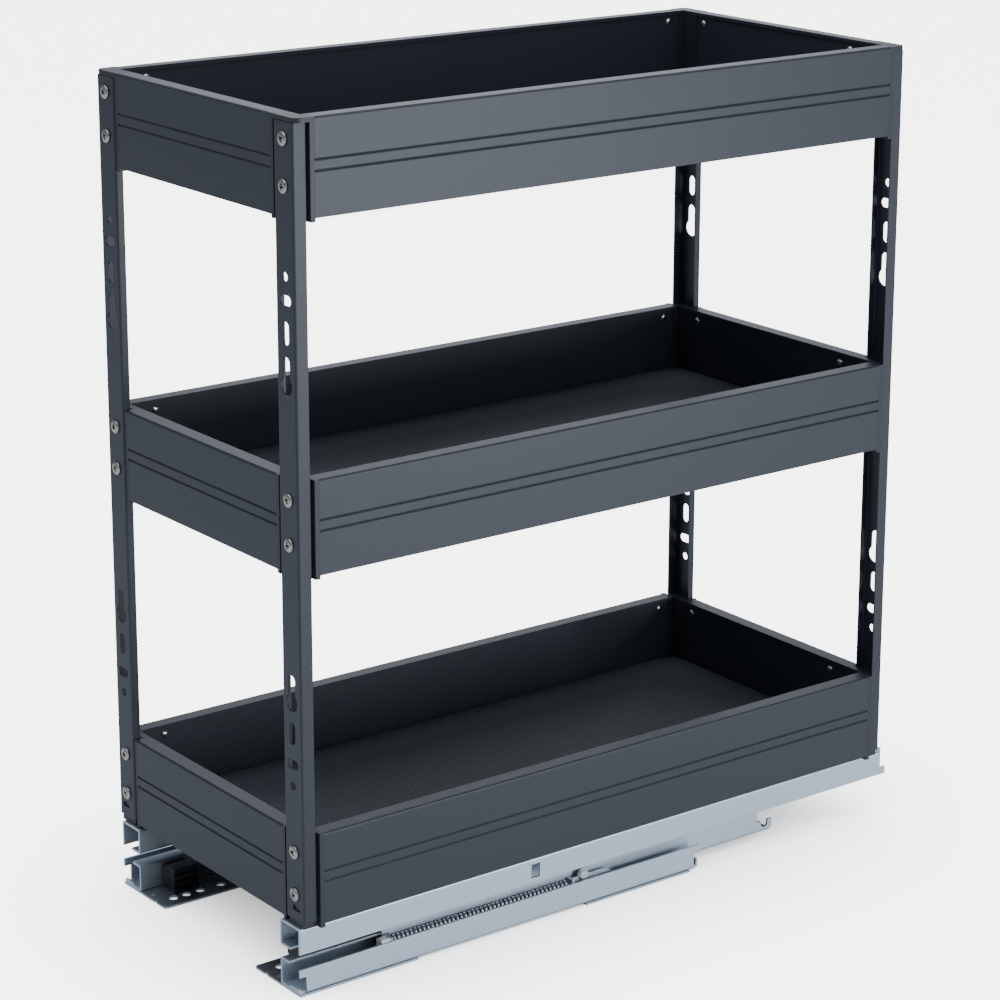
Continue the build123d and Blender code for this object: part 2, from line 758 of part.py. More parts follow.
# Closing catch: a bent steel plate with a face for the spring, a tongue and a foot on the rail
catch_x = spring_x - catch_sheet / 2
catch_bottom = rail_floor_top + running_gap
catch_top = spring_z + spring_diameter / 2 + running_gap
catch_right_x = rail_outer_wall_x - 2 * running_gap
catch_left_x = 2 * spring_x - catch_right_x
catch_end_y = catch_face_y + catch_length
catch_foot_end_y = catch_face_y + catch_foot_length
pin_y = catch_face_y + pin_setback
with BuildPart() as closing_catch:
    with BuildSketch(side_plane(catch_x)):
        with BuildLine():
            Polyline(
                (catch_face_y, catch_bottom),
                (catch_face_y, catch_top),
                (pin_y, catch_top),
                (catch_end_y - catch_tongue_slant, catch_tongue_z + catch_tongue_height),
                (catch_end_y, catch_tongue_z),
                (catch_foot_end_y, catch_tongue_z),
                (catch_foot_end_y, catch_bottom),
                close=True,
            )
        make_face()
        with Locations((pin_y, pin_z)):
            Circle(pin_head_diameter / 2 + ear_margin)
            Circle(pin_diameter / 2 + thread_clearance, mode=Mode.SUBTRACT)
    extrude(amount=catch_sheet)
    with BuildSketch(front_plane(catch_face_y)):
        with Locations(((catch_left_x + catch_right_x) / 2, catch_top)):
            Rectangle(
                catch_right_x - catch_left_x,
                spring_diameter + 2 * running_gap,
                align=(Align.CENTER, Align.MAX),
            )
    extrude(amount=-catch_sheet)
    with BuildSketch(Plane.XY.offset(catch_bottom)):
        with Locations((catch_left_x, catch_face_y)):
            Rectangle(
                catch_right_x - catch_left_x,
                catch_foot_end_y - catch_face_y,
                align=(Align.MIN, Align.MIN),
            )
    extrude(amount=catch_sheet)
save_pair(closing_catch.part, "closing_catch")

with BuildPart() as catch_pin:
    with BuildSketch(side_plane(catch_x + catch_sheet)):
        with Locations((pin_y, pin_z)):
            Circle(pin_head_diameter / 2)
    extrude(amount=pin_head_height)
    chamfer(catch_pin.edges().group_by(Axis.X)[-1], length=pin_head_height / 3)
    with BuildSketch(side_plane(catch_x + catch_sheet)):
        with Locations((pin_y, pin_z)):
            Circle(pin_diameter / 2)
    extrude(amount=-(catch_sheet + pin_reach))
save_pair(catch_pin.part, "catch_pin")

# Damper: a moulded head on the front plate holds a rod, and the cylinder slides along the rod
head_left_x = damper_x - damper_head_width / 2
head_right_x = damper_x + damper_head_width / 2
head_top = plate_thickness + damper_head_height
head_middle = plate_thickness + damper_head_height / 2
damper_front_y = slide_front_y + damper_setback
head_rear_y = damper_front_y + damper_head_length
cylinder_front_y = slide_front_y + cylinder_setback
with BuildPart() as damper_head:
    with BuildSketch(front_plane(damper_front_y)):
        with BuildLine():
            Polyline(
                (damper_x, plate_thickness),
                (head_left_x, plate_thickness),
                (head_left_x, head_top),
                (damper_x, head_top),
            )
            ThreePointArc((damper_x, head_top), (head_right_x, head_middle), (damper_x, plate_thickness))
        make_face()
        with Locations(*[(head_left_x, head_middle + i * damper_groove_pitch) for i in (-1, 0, 1)]):
            Rectangle(2 * damper_groove_depth, damper_groove_width, mode=Mode.SUBTRACT)
    extrude(amount=-damper_head_length)
    with BuildSketch(front_plane(head_rear_y)):
        with Locations((damper_x, rod_z)):
            Circle(rod_diameter / 2 + rod_clearance)
    extrude(amount=rod_seat, mode=Mode.SUBTRACT)
save_pair(damper_head.part, "damper_head")

with BuildPart() as damper_rod:
    with BuildSketch(front_plane(head_rear_y - rod_seat)):
        with Locations((damper_x, rod_z)):
            Circle(rod_diameter / 2)
    extrude(amount=-rod_length)
save_pair(damper_rod.part, "damper_rod")

with BuildPart() as damper_cylinder:
    with BuildSketch(front_plane(cylinder_front_y)):
        with Locations((damper_x, rod_z)):
            Circle(cylinder_diameter / 2)
    extrude(amount=-cylinder_length)
    with BuildSketch(front_plane(cylinder_front_y)):
        with Locations((damper_x, rod_z)):
            Circle(rod_diameter / 2 + rod_clearance)
    extrude(amount=-(cylinder_length - cylinder_floor), mode=Mode.SUBTRACT)
save_pair(damper_cylinder.part, "damper_cylinder")
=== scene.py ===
"""Finishes the pull-out cabinet rack: its coats, metals, fasteners, springs and studio."""

import math

import bmesh
import bpy
from mathutils import Matrix, Vector


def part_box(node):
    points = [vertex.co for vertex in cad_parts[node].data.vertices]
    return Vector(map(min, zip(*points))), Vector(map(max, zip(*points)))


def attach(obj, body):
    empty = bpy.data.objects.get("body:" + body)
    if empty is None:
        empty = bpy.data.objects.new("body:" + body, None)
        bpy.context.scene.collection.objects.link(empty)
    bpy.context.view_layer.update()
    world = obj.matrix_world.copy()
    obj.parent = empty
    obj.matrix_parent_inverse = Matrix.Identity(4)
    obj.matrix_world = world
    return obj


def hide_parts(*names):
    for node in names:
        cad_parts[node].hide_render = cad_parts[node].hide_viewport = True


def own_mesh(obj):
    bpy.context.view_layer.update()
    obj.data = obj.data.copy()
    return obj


bl_info = {
    "name": "Pull-out rack finish",
    "version": (1, 0, 0),
    "blender": (4, 5, 0),
    "location": "View3D > Sidebar > Rack",
    "description": "Coats, metals, fasteners and springs for a pull-out cabinet rack",
    "category": "Object",
}

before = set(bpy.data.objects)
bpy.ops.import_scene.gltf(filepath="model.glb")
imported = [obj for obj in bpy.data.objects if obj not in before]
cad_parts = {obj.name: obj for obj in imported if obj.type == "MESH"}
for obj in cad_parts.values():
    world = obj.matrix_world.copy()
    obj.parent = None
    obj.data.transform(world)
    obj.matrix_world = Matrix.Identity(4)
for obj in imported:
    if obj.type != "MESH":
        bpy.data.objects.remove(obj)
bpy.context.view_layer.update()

MM = 0.001
SIDES = ("left", "right")
TRAYS = ("lower", "middle", "upper")
PANELS = ("left", "right", "front", "rear")
POSTS = ("post_front_left", "post_front_right", "post_rear_left", "post_rear_right")
PANEL_DEPTH = 10 * MM  # from a panel's outer face to its inner wall

# Steps round each turned shape and rings up its dome
HEAD_STEPS, HEAD_RINGS = 32, 5
RIVET_STEPS, RIVET_RINGS = 16, 4
COIL_STEPS, WIRE_SIDES = 20, 10  # steps in one turn of a spring and sides of its wire
HEAD_WALL = 0.35  # share of a screw head's height that stands straight below the dome
RECESS_TAPER = (0.45, 0.8, 1)  # bottom of a recess's arm against its mouth
SCREW_TURN = 0.7  # radians from one recess to the next, as driven screws stop at any angle
MERGE_DISTANCE = 0.001 * MM

COAT_DRIFT = 90 * MM  # width of the slow changes in the thickness of a sprayed coat
# The real grain of both is too fine to show, so it is drawn as coarse as it needs to show
PLASTIC_GRAIN = 0.4 * MM  # a spark-eroded mould gives less than 0.1 mm
METAL_MARKS = 0.7 * MM  # handling marks are about 0.1 mm wide

# Colour sockets of a Mix node by number, because its plain numbers have the same names
MIX_DARK, MIX_LIGHT, MIX_RESULT = 6, 7, 2

WHITE = "ffffff"
FLOOR_COLOUR, FLOOR_REACH = "ccd3dc", 8.0  # colour, and metres from its middle to its edge
FLOOR_GLOW, FLOOR_SEEN_GLOW = 0.3, 5.0  # on the rack, and as the camera sees it
FLOOR_PAINTED_SHADOW_REACH = 0.15  # metres round the rack in which the floor's glow fades into a painted shadow
SKY_COLOUR, SKY_STRENGTH, BACKDROP_STRENGTH = "e8f0ff", 0.34, 6.0
LIGHT_COLOUR = "f2f6ff"
LIGHTS = (  # name, place, aim, edge length in metres and power in watts
    ("side_softbox", (1.7, 0.1, 0.75), (0.1, -0.15, 0.45), 0.9, 8),
    ("edge_softbox", (1.6, 0.72, 0.3), (0.1, -0.2, 0.45), 0.4, 13),
    ("top_softbox", (0.2, -0.3, 2.4), (0, 0, 0.3), 2.6, 58),
    ("back_softbox", (-1.7, 1.3, 1.35), (0, 0, 0.55), 1.1, 10),
)
CAMERA_PLACE = (1.570926, -1.196894, 0.855216)
CAMERA_ANGLES = (52.2713, 15.1306, 0.3202)  # azimuth, elevation and roll in degrees
CAMERA_SENSOR, CAMERA_LENS = 36, 109.909  # in millimetres
CAMERA_SHIFT = (-0.03816, -0.09895)  # moves the rack in the frame without turning the camera


def linear(code):
    """A linear colour with alpha from an sRGB hex value."""
    parts = [int(code[i : i + 2], 16) / 255 for i in (0, 2, 4)]
    return [c / 12.92 if c <= 0.04045 else ((c + 0.055) / 1.055) ** 2.4 for c in parts] + [1.0]


def colour_property(name, code, description):
    """A colour that a user may change, given as an sRGB hex value."""
    return bpy.props.FloatVectorProperty(
        name=name,
        description=description,
        subtype="COLOR",
        size=4,
        min=0.0,
        max=1.0,
        default=linear(code),
    )


def size_property(name, millimetres, description):
    """A length that a user may change, given in millimetres."""
    return bpy.props.FloatProperty(
        name=name,
        description=description,
        subtype="DISTANCE",
        unit="LENGTH",
        default=millimetres * MM,
        min=0.0,
    )


class RackFinish(bpy.types.PropertyGroup):
    """Colours and grain sizes of the rack's materials."""

    coat: colour_property("Coat", "222830", "Graphite powder coat on posts and panels")
    mat: colour_property("Mat", "3c4148", "Slip-proof mats in the trays")
    connector: colour_property("Connector", "202328", "Moulded corner connectors")
    zinc: colour_property("Rail zinc", "c3ced6", "Zinc-plated rails and catches")
    plate: colour_property("Plate zinc", "b8c0c6", "Zinc-plated bracket plates")
    bright: colour_property("Bright zinc", "a9a89f", "Screws and rods")
    rivet: colour_property("Rivet", "e0e0dc", "Rivets on the panels and pins on the catches")
    wire: colour_property("Spring wire", "b8bcc0", "Closing springs")
    black: colour_property("Black plastic", "101112", "Damper heads and roller cages")
    nylon: colour_property("Nylon", "e4e3dd", "Spring seats and rollers")
    # A real coat's pimples are about 0.4 mm wide, the mats' dimples about 2 mm apart and the
    # zinc's crystals finer still. All three are drawn as coarse as they need to show.
    coat_grain: size_property("Coat grain", 0.9, "Width of one pimple of the powder coat")
    mat_pitch: size_property("Mat pitch", 4.2, "Distance between two dimples of the mats")
    zinc_grain: size_property("Zinc grain", 0.8, "Width of one crystal of the zinc coat")


class RackFasteners(bpy.types.PropertyGroup):
    """Sizes of the screws, rivets and springs."""

    head_diameter: size_property("Screw head", 9.0, "Diameter of a post screw's head")
    head_height: size_property("Head height", 1.9, "Height of a post screw's head")
    recess_length: size_property("Recess", 6.0, "Length of the cross recess from tip to tip")
    recess_width: size_property("Recess width", 1.6, "Width of an arm of the cross recess")
    recess_depth: size_property("Recess depth", 2.0, "Depth of the cross recess")
    low_screw: size_property("Low screw", 18.8, "Height above the tray's bottom")
    high_screw: size_property("High screw", 46.8, "Height above the tray's bottom")
    rivet_diameter: size_property("Rivet", 5.0, "Diameter of a panel rivet's dome")
    rivet_height: size_property("Rivet height", 1.2, "Height of a panel rivet's dome")
    rivet_drop: size_property("Rivet drop", 7.3, "Distance of the rivets below the rim")
    rivet_front: size_property("Front rivet", 17.0, "Distance from a side panel's front end")
    rivet_rear: size_property("Rear rivet", 10.0, "Distance from a side panel's rear end")
    rivet_left: size_property("Left rivet", 6.3, "Distance from an end panel's left end")
    rivet_right: size_property("Right rivet", 17.4, "Distance from an end panel's right end")
    # A real spring of this width has wire of about 0.8 mm, too thin to show. Its wire is drawn
    # thicker and its turns are fewer.
    wire_diameter: size_property("Spring wire", 2.3, "Diameter of the closing spring's wire")
    coil_diameter: size_property("Spring", 5.4, "Outer diameter of the closing spring")
    turns: bpy.props.IntProperty(
        name="Turns", description="Turns of each closing spring", default=44, min=2
    )


# Materials


def add_node(tree, kind, settings=None, links=None):
    """Adds a node, sets its attributes and input values, and links its inputs to outputs.

    Sockets go by name, or by number where two have the same name.
    """
    made = tree.nodes.new(kind)
    for name, value in (settings or {}).items():
        if isinstance(name, str) and hasattr(made, name):
            setattr(made, name, value)
        else:
            made.inputs[name].default_value = value
    for name, output in (links or {}).items():
        tree.links.new(output, made.inputs[name])
    return made


def start_material(name, colour, roughness, metallic=0.0):
    """A new material, its node tree and its shader, with the values that are the same all over."""
    material = bpy.data.materials.new(name)
    material.use_nodes = True
    material.diffuse_color = colour
    tree = material.node_tree
    shader = tree.nodes["Principled BSDF"]
    shader.inputs["Base Color"].default_value = colour
    shader.inputs["Roughness"].default_value = roughness
    shader.inputs["Metallic"].default_value = metallic
    return material, tree, shader


def place(tree, stretch=(1, 1, 1), turn=0.0):
    """The piece's own coordinates in metres, stretched and turned about the height."""
    here = add_node(tree, "ShaderNodeTexCoord")
    mapping = add_node(
        tree,
        "ShaderNodeMapping",
        {"Scale": stretch, "Rotation": (0, 0, turn)},
        {"Vector": here.outputs["Object"]},
    )
    return mapping.outputs["Vector"]


def surface(tree, shader, colour, pattern, contrast, depth, edge, gloss=None, clouds=None):
    """Gives the shader a surface from a pattern between 0 and 1.

    The pattern makes the colour darker and lighter by the contrast and raises a relief of a real
    depth, over edges that are rounded a little. Gloss is the lowest and highest roughness, where
    the pattern moves that too. Clouds, where given, change the colour in the pattern's place.
    """
    dark, light = (
        [min(c * change, 1) for c in colour[:3]] + [1] for change in (1 - contrast, 1 + contrast)
    )
    shade = add_node(
        tree,
        "ShaderNodeMix",
        {"data_type": "RGBA", MIX_DARK: dark, MIX_LIGHT: light},
        {"Factor": pattern if clouds is None else clouds},
    )
    tree.links.new(shade.outputs[MIX_RESULT], shader.inputs["Base Color"])
    if gloss:
        low, high = gloss
        spread = add_node(
            tree, "ShaderNodeMapRange", {"To Min": low, "To Max": high}, {"Value": pattern}
        )
        tree.links.new(spread.outputs["Result"], shader.inputs["Roughness"])
    rounded = add_node(tree, "ShaderNodeBevel", {"samples": 4, "Radius": edge})
    bump = add_node(
        tree,
        "ShaderNodeBump",
        {"Distance": depth, "Strength": 1.0},
        {"Height": pattern, "Normal": rounded.outputs["Normal"]},
    )
    tree.links.new(bump.outputs["Normal"], shader.inputs["Normal"])


def powder_coat(finish):
    """Powder coat on sheet steel: polyester, sprayed on and baked.

    It gives a satin skin whose fine orange peel softens reflections, and whose thickness drifts
    slowly. Its IOR is the shader's own, about 1.5.
    """
    material, tree, shader = start_material("powder_coat_graphite", finish.coat, roughness=0.42)
    peel = add_node(
        tree,
        "ShaderNodeTexNoise",
        {"Scale": 1 / finish.coat_grain, "Detail": 2.0, "Roughness": 0.6},
        {"Vector": place(tree)},
    )
    drift = add_node(
        tree,
        "ShaderNodeTexNoise",
        {"Scale": 1 / COAT_DRIFT, "Detail": 3.0},
        {"Vector": place(tree)},
    )
    surface(
        tree,
        shader,
        finish.coat,
        peel.outputs["Fac"],
        contrast=0.06,
        depth=0.05 * MM,
        edge=0.2 * MM,
        gloss=(0.42, 0.52),
        clouds=drift.outputs["Fac"],
    )
    return material


def embossed_mat(finish):
    """Polystyrene slip mat, embossed with small diamonds in diagonal rows.

    It gives a matt ground, with painted shade in the dimples and a painted highlight on the
    crests.
    """
    material, tree, shader = start_material("embossed_polystyrene_mat", finish.mat, roughness=0.6)
    rows = []
    for axis in ("X", "Y"):
        turned = add_node(
            tree, "ShaderNodeSeparateXYZ", {}, {"Vector": place(tree, turn=math.radians(45))}
        )
        phase = add_node(
            tree,
            "ShaderNodeMath",
            {"operation": "MULTIPLY", 1: 2 * math.pi / finish.mat_pitch},
            {0: turned.outputs[axis]},
        )
        rows.append(add_node(tree, "ShaderNodeMath", {"operation": "SINE"}, {0: phase.outputs[0]}))
    crest = add_node(
        tree,
        "ShaderNodeMath",
        {"operation": "MULTIPLY"},
        {0: rows[0].outputs[0], 1: rows[1].outputs[0]},
    )
    height = add_node(
        tree,
        "ShaderNodeMapRange",
        {"From Min": -1.0, "From Max": 1.0},
        {"Value": crest.outputs[0]},
    )
    # The colour follows the relief: painted shade in the dimples and a painted highlight on the
    # crests.
    surface(
        tree,
        shader,
        finish.mat,
        height.outputs["Result"],
        contrast=0.7,
        depth=0.9 * MM,
        edge=0.3 * MM,
    )
    return material


def moulded_plastic(name, colour, roughness):
    """Injection-moulded plastic, such as ABS, POM or nylon.

    A spark-eroded mould gives it a fine grain under a soft sheen.
    """
    material, tree, shader = start_material(name, colour, roughness)
    grain = add_node(
        tree,
        "ShaderNodeTexNoise",
        {"Scale": 1 / PLASTIC_GRAIN, "Detail": 1.0},
        {"Vector": place(tree)},
    )
    surface(
        tree,
        shader,
        colour,
        grain.outputs["Fac"],
        contrast=0.1,
        depth=0.02 * MM,
        edge=0.35 * MM,
    )
    return material


def plated_sheet(name, colour, grain, roughness):
    """Zinc-plated sheet steel, roll-formed.

    It gives a dull silver with an even grain of crystals, drawn out a little along the rail.
    """
    material, tree, shader = start_material(name, colour, roughness, metallic=1.0)
    crystals = add_node(
        tree,
        "ShaderNodeTexNoise",
        {"Scale": 1 / grain, "Detail": 3.0, "Roughness": 0.65},
        {"Vector": place(tree, stretch=(1, 0.5, 1))},
    )
    surface(
        tree,
        shader,
        colour,
        crystals.outputs["Fac"],
        contrast=0.3,
        depth=0.03 * MM,
        edge=0.35 * MM,
        gloss=(0.85 * roughness, 1.15 * roughness),
    )
    return material


def bright_metal(name, colour, roughness):
    """Bright zinc or ground steel on small turned parts and drawn wire.

    It gives clean reflections with light handling marks.
    """
    material, tree, shader = start_material(name, colour, roughness, metallic=1.0)
    marks = add_node(
        tree,
        "ShaderNodeTexNoise",
        {"Scale": 1 / METAL_MARKS, "Detail": 4.0},
        {"Vector": place(tree)},
    )
    surface(
        tree,
        shader,
        colour,
        marks.outputs["Fac"],
        contrast=0.08,
        depth=0.01 * MM,
        edge=0.2 * MM,
        gloss=(0.8 * roughness, 1.3 * roughness),
    )
    return material


def dress(nodes, material):
    """Gives CAD nodes a material on all their faces."""
    for name in nodes:
        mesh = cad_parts[name].data
        mesh.materials.clear()
        mesh.materials.append(material)


def pair(*names):
    """Left and right node names."""
    return [f"{name}_{side}" for name in names for side in SIDES]


# New pieces


def mesh_from(bm, name):
    """Turns a bmesh into a mesh and frees it."""
    mesh = bpy.data.meshes.new(name)
    bm.to_mesh(mesh)
    bm.free()
    return mesh


def object_from(bm, name):
    """Turns a bmesh into an object of the scene and frees it."""
    made = bpy.data.objects.new(name, mesh_from(bm, name))
    bpy.context.scene.collection.objects.link(made)
    return made


def finish_piece(name, bm, material, body, replaced=()):
    """Turns a bmesh into a shown piece that rides on a body."""
    bmesh.ops.recalc_face_normals(bm, faces=bm.faces)
    piece = object_from(bm, name)
    piece.data.materials.append(material)
    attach(piece, body)
    if replaced:
        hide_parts(*replaced)
    return piece


def spin_profile(bm, points, steps):
    """Turns a profile of (radius, height) points once round the Z axis."""
    vertices = [bm.verts.new((radius, 0, height)) for radius, height in points]
    edges = [bm.edges.new(two) for two in zip(vertices, vertices[1:])]
    bmesh.ops.spin(
        bm,
        geom=vertices + edges,
        cent=(0, 0, 0),
        axis=(0, 0, 1),
        angle=2 * math.pi,
        steps=steps,
        use_merge=True,
    )
    bmesh.ops.remove_doubles(bm, verts=bm.verts, dist=MERGE_DISTANCE)


def smooth_faces(bm):
    """Marks all faces as smooth."""
    for face in bm.faces:
        face.smooth = True


def dome_points(radius, height, rings):
    """A dome's profile from its rim to its pole, as points of an ellipse."""
    angles = [math.pi / 2 * i / rings for i in range(rings + 1)]
    return [(radius * math.cos(a), height * math.sin(a)) for a in angles]


def screw_head_mesh(sizes):
    """One pan head with a cross recess, its seat at the origin and its top along Z."""
    radius = sizes.head_diameter / 2
    wall = sizes.head_height * HEAD_WALL
    bm = bmesh.new()
    cap = dome_points(radius, sizes.head_height - wall, HEAD_RINGS)
    spin_profile(bm, [(0, 0), (radius, 0)] + [(r, h + wall) for r, h in cap], HEAD_STEPS)
    bmesh.ops.recalc_face_normals(bm, faces=bm.faces)
    smooth_faces(bm)
    head = object_from(bm, "screw_head_blank")
    arm_size = (sizes.recess_length, sizes.recess_width, 2 * sizes.recess_depth)
    bm = bmesh.new()
    for turn in (0, math.pi / 2):
        arm = bmesh.ops.create_cube(bm, size=1.0)["verts"]
        bmesh.ops.scale(bm, verts=arm, vec=arm_size)
        bottom = [v for v in arm if v.co.z < 0]
        bmesh.ops.scale(bm, verts=bottom, vec=RECESS_TAPER)
        bmesh.ops.rotate(bm, verts=arm, cent=(0, 0, 0), matrix=Matrix.Rotation(turn, 3, "Z"))
    bmesh.ops.translate(bm, verts=bm.verts, vec=(0, 0, sizes.head_height))
    cutter = object_from(bm, "recess_cutter")
    cut = head.modifiers.new("recess", "BOOLEAN")
    cut.operation = "DIFFERENCE"
    cut.solver = "EXACT"
    cut.use_self = True
    cut.object = cutter
    seen = head.evaluated_get(bpy.context.evaluated_depsgraph_get())
    mesh = bpy.data.meshes.new_from_object(seen)
    for blank in (head, cutter):
        bpy.data.objects.remove(blank)
    return mesh


def copy_to(bm, mesh, placement):
    """Adds a copy of a mesh to a bmesh at a placement."""
    known = len(bm.verts)
    bm.from_mesh(mesh)
    bm.verts.ensure_lookup_table()
    bmesh.ops.transform(bm, matrix=placement, verts=bm.verts[known:])


def facing(point, direction, spin=0.0):
    """A placement at a point whose Z axis points in a direction, turned by an angle about it."""
    turn = Vector(direction).to_track_quat("Z", "Y").to_matrix().to_4x4()
    return Matrix.Translation(point) @ turn @ Matrix.Rotation(spin, 4, "Z")


class RACK_OT_coated_sheet(bpy.types.Operator):
    """Coat the posts, the panels and the floor boards"""

    bl_idname = "rack.coated_sheet"
    bl_label = "Coated sheet"

    def execute(self, context):
        coat = powder_coat(context.scene.rack_finish)
        dress(POSTS, coat)
        dress([f"{tray}_{panel}_panel" for tray in TRAYS for panel in PANELS], coat)
        dress([f"{tray}_floor" for tray in TRAYS], coat)
        return {"FINISHED"}


class RACK_OT_mats(bpy.types.Operator):
    """Give the tray mats their embossed relief"""

    bl_idname = "rack.mats"
    bl_label = "Tray mats"

    def execute(self, context):
        dress([f"{tray}_mat" for tray in TRAYS], embossed_mat(context.scene.rack_finish))
        return {"FINISHED"}


class RACK_OT_connectors(bpy.types.Operator):
    """Give the corner connectors their moulded plastic"""

    bl_idname = "rack.connectors"
    bl_label = "Corner connectors"

    def execute(self, context):
        finish = context.scene.rack_finish
        plastic = moulded_plastic("moulded_abs_dark", finish.connector, roughness=0.5)
        dress([f"{tray}_corners" for tray in TRAYS], plastic)
        return {"FINISHED"}


class RACK_OT_post_screws(bpy.types.Operator):
    """Make the pan-head screws that hold the posts"""

    bl_idname = "rack.post_screws"
    bl_label = "Post screws"

    def execute(self, context):
        finish, sizes = context.scene.rack_finish, context.scene.rack_fasteners
        metal = bright_metal("bright_zinc_screw", finish.bright, roughness=0.28)
        head = screw_head_mesh(sizes)
        bm = bmesh.new()
        count = 0
        for post in POSTS:
            low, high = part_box(post)
            outwards = -1 if low.y < 0 else 1
            face = low.y if outwards < 0 else high.y
            for tray in TRAYS:
                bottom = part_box(f"{tray}_left_panel")[0].z
                for rise in (sizes.low_screw, sizes.high_screw):
                    count += 1
                    point = Vector(((low.x + high.x) / 2, face, bottom + rise))
                    copy_to(bm, head, facing(point, (0, outwards, 0), SCREW_TURN * count))
        bpy.data.meshes.remove(head)
        finish_piece("pan_head_screws", bm, metal, "rack", ["post_screws"])
        dress(["rail_screws"], metal)
        return {"FINISHED"}


class RACK_OT_panel_rivets(bpy.types.Operator):
    """Make the rivets near the panels' ends"""

    bl_idname = "rack.panel_rivets"
    bl_label = "Panel rivets"

    def execute(self, context):
        finish, sizes = context.scene.rack_finish, context.scene.rack_fasteners
        metal = bright_metal("bright_zinc_rivet", finish.rivet, roughness=0.2)
        bm = bmesh.new()
        profile = dome_points(sizes.rivet_diameter / 2, sizes.rivet_height, RIVET_RINGS)
        spin_profile(bm, profile, RIVET_STEPS)
        bmesh.ops.holes_fill(bm, edges=bm.edges, sides=0)
        smooth_faces(bm)
        dome = mesh_from(bm, "rivet_dome")
        bm = bmesh.new()
        for tray in TRAYS:
            low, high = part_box(f"{tray}_right_panel")
            z = high.z - sizes.rivet_drop
            for side in (-1, 1):
                x = side * (high.x - PANEL_DEPTH)
                for y in (low.y + sizes.rivet_front, high.y - sizes.rivet_rear):
                    copy_to(bm, dome, facing(Vector((x, y, z)), (-side, 0, 0)))
            for end, outwards in (("front", -1), ("rear", 1)):
                low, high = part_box(f"{tray}_{end}_panel")
                face = low.y if outwards < 0 else high.y
                for x in (low.x + sizes.rivet_left, high.x - sizes.rivet_right):
                    point = Vector((x, face - outwards * PANEL_DEPTH, z))
                    copy_to(bm, dome, facing(point, (0, -outwards, 0)))
        bpy.data.meshes.remove(dome)
        finish_piece("panel_rivets", bm, metal, "rack")
        return {"FINISHED"}


class RACK_OT_slides(bpy.types.Operator):
    """Give the slides and brackets their zinc-plated sheet"""

    bl_idname = "rack.slides"
    bl_label = "Slides"

    def execute(self, context):
        finish = context.scene.rack_finish
        grain = finish.zinc_grain
        sheet = plated_sheet("zinc_plated_rail", finish.zinc, grain, roughness=0.5)
        dress(pair("drawer_rail", "middle_rail", "cabinet_rail", "closing_catch"), sheet)
        plate = plated_sheet("zinc_plated_bracket", finish.plate, grain, roughness=0.45)
        dress(pair("front_bracket", "rear_bracket"), plate)
        cage = moulded_plastic("moulded_pom_cage", finish.black, roughness=0.5)
        dress(pair("lower_carriage", "upper_carriage"), cage)
        roller = moulded_plastic("moulded_nylon_roller", finish.nylon, roughness=0.4)
        dress(pair("lower_rollers", "upper_rollers"), roller)
        return {"FINISHED"}


class RACK_OT_closing_springs(bpy.types.Operator):
    """Wind the closing springs"""

    bl_idname = "rack.closing_springs"
    bl_label = "Closing springs"

    def execute(self, context):
        finish, sizes = context.scene.rack_finish, context.scene.rack_fasteners
        wire = bright_metal("drawn_spring_wire", finish.wire, roughness=0.35)
        half_wire = sizes.wire_diameter / 2
        radius = sizes.coil_diameter / 2 - half_wire
        steps = sizes.turns * COIL_STEPS
        for side in SIDES:
            node, joint = f"closing_spring_{side}", f"catch_slide_{side}"
            low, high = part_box(node)
            middle = (low + high) / 2
            start = Vector((middle.x + radius, low.y + half_wire, middle.z))
            run = high.y - low.y - 2 * half_wire
            bm = bmesh.new()
            ring = bmesh.ops.create_circle(bm, radius=half_wire, segments=WIRE_SIDES)["verts"]
            bmesh.ops.translate(bm, verts=ring, vec=start)
            bmesh.ops.spin(
                bm,
                geom=ring + list(bm.edges),
                cent=(middle.x, start.y, middle.z),
                axis=(0, -1, 0),
                dvec=(0, run / steps, 0),
                angle=2 * math.pi * sizes.turns,
                steps=steps,
            )
            bmesh.ops.holes_fill(bm, edges=bm.edges, sides=0)
            smooth_faces(bm)
            name = f"wound_spring_{side}"
            piece = finish_piece(name, bm, wire, "cabinet_side", [node])
            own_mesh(piece)
        return {"FINISHED"}


class RACK_OT_closing_unit(bpy.types.Operator):
    """Give the catch pins, seats and dampers their materials"""

    bl_idname = "rack.closing_unit"
    bl_label = "Closing unit"

    def execute(self, context):
        finish = context.scene.rack_finish
        pin = bright_metal("turned_steel_pin", finish.rivet, roughness=0.3)
        dress(pair("catch_pin"), pin)
        seat = moulded_plastic("natural_nylon_seat", finish.nylon, roughness=0.4)
        dress(pair("spring_seat"), seat)
        head = moulded_plastic("moulded_black_pom", finish.black, roughness=0.35)
        dress(pair("damper_head"), head)
        rod = bright_metal("ground_steel_rod", finish.bright, roughness=0.2)
        dress(pair("damper_rod", "damper_cylinder"), rod)
        return {"FINISHED"}


# Studio


def studio_floor():
    """A matt white floor that lights the rack from below, with a painted shadow under and round
    the rack where its glow fades.

    The camera sees it brighter than the rack does, so that it looks white all the same.
    """
    material, tree, shader = start_material("studio_floor", linear(FLOOR_COLOUR), roughness=0.9)
    shader.inputs["Emission Color"].default_value = linear(WHITE)
    ray = add_node(tree, "ShaderNodeLightPath")
    glow = add_node(
        tree,
        "ShaderNodeMapRange",
        {"To Min": FLOOR_GLOW, "To Max": FLOOR_SEEN_GLOW},
        {"Value": ray.outputs["Is Camera Ray"]},
    )
    # Ambient occlusion darkens the floor's glow under and round the rack: a painted contact
    # shadow.
    painted_shadow_ao = add_node(
        tree, "ShaderNodeAmbientOcclusion", {"samples": 16, "Distance": FLOOR_PAINTED_SHADOW_REACH}
    )
    glow_with_painted_shadow = add_node(
        tree,
        "ShaderNodeMath",
        {"operation": "MULTIPLY"},
        {0: glow.outputs["Result"], 1: painted_shadow_ao.outputs["AO"]},
    )
    tree.links.new(glow_with_painted_shadow.outputs["Value"], shader.inputs["Emission Strength"])
    return material


